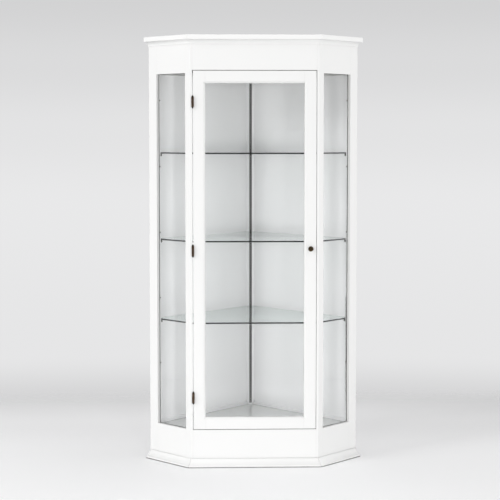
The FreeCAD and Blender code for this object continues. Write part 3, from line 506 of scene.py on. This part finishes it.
def plain_plastic(name, colour):
    """Moulded white plastic with a fine spark texture."""
    made, tree, shader = new_material(name)
    place = tree.nodes.new("ShaderNodeTexCoord")
    spark = tree.nodes.new("ShaderNodeTexNoise")
    spark.inputs["Scale"].default_value = 900
    link(tree, place, "Object", spark, "Vector")
    bump = tree.nodes.new("ShaderNodeBump")
    bump.inputs["Strength"].default_value = 0.15
    bump.inputs["Distance"].default_value = 0.0001
    link(tree, spark, "Fac", bump, "Height")
    link(tree, bump, "Normal", shader, "Normal")
    shader.inputs["Base Color"].default_value = (*colour, 1)
    shader.inputs["Roughness"].default_value = 0.5
    return made


zinc = bronzed("zinc_plate", (0.42, 0.43, 0.44), (0.62, 0.63, 0.64), roughness=0.25)
finish_node("magnet_catch", plain_plastic("catch_plastic", (0.78, 0.78, 0.76)), eased=0.0006)
for piece in ("strike_plate", "strike_screws", "catch_screws", "knob_screws"):
    finish_node(piece, zinc)


# ---- Studio: floor, background, lamps and camera ---------------------------------
# A pale floor that fades into the background, two soft lamps in front, one high on the
# left, and a camera at standing height a little left of the middle.

def colour_ramp(tree, stops):
    """A ramp with a grey at each stop (position, grey), all a trace blue."""
    trace = 1.008
    ramp = tree.nodes.new("ShaderNodeValToRGB")
    ramp.color_ramp.interpolation = "EASE"
    while len(ramp.color_ramp.elements) < len(stops):
        ramp.color_ramp.elements.new(0.5)
    for element, (position, grey) in zip(ramp.color_ramp.elements, stops):
        element.position = position
        element.color = (grey, grey, grey * trace, 1)
    return ramp


def studio_floor(size, stops, lift, horizon, inner, outer):
    """A square floor, with painted shade darker toward the back and a painted contact shadow where something
    touches it, and lighter to the camera by LIFT. It fades out past the HORIZON and between the radii INNER
    and OUTER."""
    fade_depth = 0.45
    mesh = bpy.data.meshes.new("studio_floor")
    half = size / 2
    mesh.from_pydata([(-half, -half, 0), (half, -half, 0), (half, half, 0), (-half, half, 0)], [],
                     [(0, 1, 2, 3)])
    floor = bpy.data.objects.new("studio_floor", mesh)
    bpy.context.scene.collection.objects.link(floor)
    made, tree, shader = new_material("floor_paper")
    shader.inputs["Roughness"].default_value = 0.75
    place = tree.nodes.new("ShaderNodeTexCoord")
    split = tree.nodes.new("ShaderNodeSeparateXYZ")
    link(tree, place, "Object", split, "Vector")
    # Painted shade: the floor grey gets darker toward the back.
    depth = tree.nodes.new("ShaderNodeMapRange")
    depth.inputs["From Min"].default_value = -1.2
    depth.inputs["From Max"].default_value = 1.2
    link(tree, split, "Y", depth, "Value")
    ramp = colour_ramp(tree, stops)
    link(tree, depth, "Result", ramp, "Fac")
    # Painted contact shadow: ambient occlusion darkens the floor next to the cabinet.
    touched = tree.nodes.new("ShaderNodeAmbientOcclusion")
    touched.inputs["Distance"].default_value = 0.04
    close = tree.nodes.new("ShaderNodeMapRange")
    close.inputs["From Min"].default_value = 0.5
    close.inputs["From Max"].default_value = 0.85
    link(tree, touched, "AO", close, "Value")
    painted_contact_shadow = tree.nodes.new("ShaderNodeMix")
    painted_contact_shadow.data_type = "RGBA"
    painted_contact_shadow.inputs[6].default_value = (0.1, 0.095, 0.09, 1)
    link(tree, close, "Result", painted_contact_shadow, 0)
    link(tree, ramp, "Color", painted_contact_shadow, 7)
    link(tree, painted_contact_shadow, 2, shader, "Base Color")
    shader.inputs["Emission Color"].default_value = (1, 1, 1, 1)
    path = tree.nodes.new("ShaderNodeLightPath")
    glow = tree.nodes.new("ShaderNodeMath")
    glow.operation = "MULTIPLY"
    glow.inputs[1].default_value = lift
    link(tree, path, "Is Camera Ray", glow, 0)
    link(tree, glow, 0, shader, "Emission Strength")
    reach = tree.nodes.new("ShaderNodeVectorMath")
    reach.operation = "LENGTH"
    link(tree, place, "Object", reach, 0)
    fade = tree.nodes.new("ShaderNodeMapRange")
    fade.interpolation_type = "SMOOTHSTEP"
    fade.inputs["From Min"].default_value = inner
    fade.inputs["From Max"].default_value = outer
    fade.inputs["To Min"].default_value = 1
    fade.inputs["To Max"].default_value = 0
    link(tree, reach, "Value", fade, "Value")
    sweep = tree.nodes.new("ShaderNodeMapRange")
    sweep.interpolation_type = "SMOOTHSTEP"
    sweep.inputs["From Min"].default_value = horizon
    sweep.inputs["From Max"].default_value = horizon + fade_depth
    sweep.inputs["To Min"].default_value = 1
    sweep.inputs["To Max"].default_value = 0
    link(tree, split, "Y", sweep, "Value")
    seen = tree.nodes.new("ShaderNodeMath")
    seen.operation = "MULTIPLY"
    link(tree, fade, "Result", seen, 0)
    link(tree, sweep, "Result", seen, 1)
    link(tree, seen, 0, shader, "Alpha")
    mesh.materials.append(made)


studio_floor(12, ((0, 0.92), (0.5, 0.89), (0.72, 0.82), (1, 0.68)), lift=0.1, horizon=0.95, inner=1.6,
             outer=2.6)


def studio_world(stops, dim_front, base, side, right, top):
    """Background graded by the height of the line of sight, for the camera and for what glass
    and metal show. The room in front is dimmer by DIM_FRONT where they mirror it. Everything
    else gets a soft light: BASE, and more from either SIDE, from the RIGHT and from the TOP."""
    world = bpy.data.worlds.new("studio")
    world.use_nodes = True
    bpy.context.scene.world = world
    tree = world.node_tree
    shown = tree.nodes["Background"]
    place = tree.nodes.new("ShaderNodeTexCoord")
    split = tree.nodes.new("ShaderNodeSeparateXYZ")
    link(tree, place, "Generated", split, "Vector")
    height = tree.nodes.new("ShaderNodeMapRange")
    height.inputs["From Min"].default_value = -0.25
    height.inputs["From Max"].default_value = 0.15
    link(tree, split, "Z", height, "Value")
    tone = colour_ramp(tree, stops)
    link(tree, height, "Result", tone, "Fac")
    link(tree, tone, "Color", shown, "Color")
    path = tree.nodes.new("ShaderNodeLightPath")
    front = tree.nodes.new("ShaderNodeMapRange")
    front.inputs["From Min"].default_value = -0.2
    front.inputs["From Max"].default_value = -0.6
    front.inputs["To Max"].default_value = dim_front
    link(tree, split, "Y", front, "Value")
    mirrored = tree.nodes.new("ShaderNodeMath")
    mirrored.operation = "MULTIPLY"
    link(tree, front, "Result", mirrored, 0)
    link(tree, path, "Is Glossy Ray", mirrored, 1)
    dimmed = tree.nodes.new("ShaderNodeMath")
    dimmed.operation = "SUBTRACT"
    dimmed.inputs[0].default_value = 1
    link(tree, mirrored, 0, dimmed, 1)
    link(tree, dimmed, 0, shown, "Strength")
    even = tree.nodes.new("ShaderNodeBackground")
    aside = tree.nodes.new("ShaderNodeMath")
    aside.operation = "MULTIPLY_ADD"
    aside.inputs[1].default_value = side
    aside.inputs[2].default_value = right
    link(tree, split, "X", aside, 0)
    level = tree.nodes.new("ShaderNodeMath")
    level.operation = "MULTIPLY_ADD"
    level.inputs[2].default_value = base
    link(tree, split, "X", level, 0)
    link(tree, aside, 0, level, 1)
    lifted = tree.nodes.new("ShaderNodeMath")
    lifted.operation = "MULTIPLY_ADD"
    lifted.inputs[1].default_value = top
    link(tree, split, "Z", lifted, 0)
    link(tree, level, 0, lifted, 2)
    link(tree, lifted, 0, even, "Strength")
    even.inputs["Color"].default_value = (1, 1, 1, 1)
    first = tree.nodes.new("ShaderNodeMath")
    first.operation = "MAXIMUM"
    link(tree, path, "Is Camera Ray", first, 0)
    link(tree, path, "Is Glossy Ray", first, 1)
    second = tree.nodes.new("ShaderNodeMath")
    second.operation = "MAXIMUM"
    link(tree, first, 0, second, 0)
    link(tree, path, "Is Transmission Ray", second, 1)
    mix = tree.nodes.new("ShaderNodeMixShader")
    link(tree, second, 0, mix, 0)
    link(tree, even, "Background", mix, 1)
    link(tree, shown, "Background", mix, 2)
    link(tree, mix, "Shader", tree.nodes["World Output"], "Surface")


studio_world(((0, 0.62), (0.13, 0.655), (0.22, 0.79), (0.5, 0.81), (0.63, 0.77), (0.75, 0.71), (0.87, 0.65),
              (1, 0.6)), dim_front=0.5, base=0.37, side=0.88, right=0.32, top=0.14)


def soft_lamp(name, spot, aim, width, height, watts):
    """A rectangular soft box at SPOT that faces AIM. Glass and metal don't mirror it."""
    lamp = bpy.data.lights.new(name, "AREA")
    lamp.shape = "RECTANGLE"
    lamp.size = width
    lamp.size_y = height
    lamp.energy = watts
    holder = bpy.data.objects.new(name, lamp)
    bpy.context.scene.collection.objects.link(holder)
    holder.location = spot
    facing = np.subtract(aim, spot)
    turn = math.atan2(facing[0], facing[1])
    tilt = math.atan2(-facing[2], math.hypot(facing[0], facing[1]))
    holder.rotation_euler = (math.pi / 2 - tilt, 0, -turn)
    holder.visible_glossy = False
    holder.visible_transmission = False


soft_lamp("left_lamp", (-2.4, -6.6, 0.9), (0, 0, 1.0), width=1.7, height=1.6, watts=122)
soft_lamp("right_lamp", (1.16, -7.0, 1.1), (0, 0, 1.0), width=0.6, height=1.4, watts=88)
soft_lamp("side_lamp", (-5.9, -3.4, 4.0), (0, 0, 0.9), width=2.6, height=2.0, watts=150)


def camera_at(spot, right_turn, down_tilt, lens, shift_y):
    """The camera: RIGHT_TURN and DOWN_TILT in degrees from straight at the back wall."""
    camera = bpy.data.cameras.new("camera")
    camera.lens = lens
    camera.shift_y = shift_y
    holder = bpy.data.objects.new("camera", camera)
    bpy.context.scene.collection.objects.link(holder)
    holder.location = spot
    holder.rotation_euler = (math.radians(90 - down_tilt), 0, -math.radians(right_turn))
    bpy.context.scene.camera = holder


camera_at((-0.1845, front_face - 5.5566, 1.3963), right_turn=1.7, down_tilt=3.706, lens=96.572,
          shift_y=-0.06)
bpy.context.scene.view_settings.view_transform = "Standard"
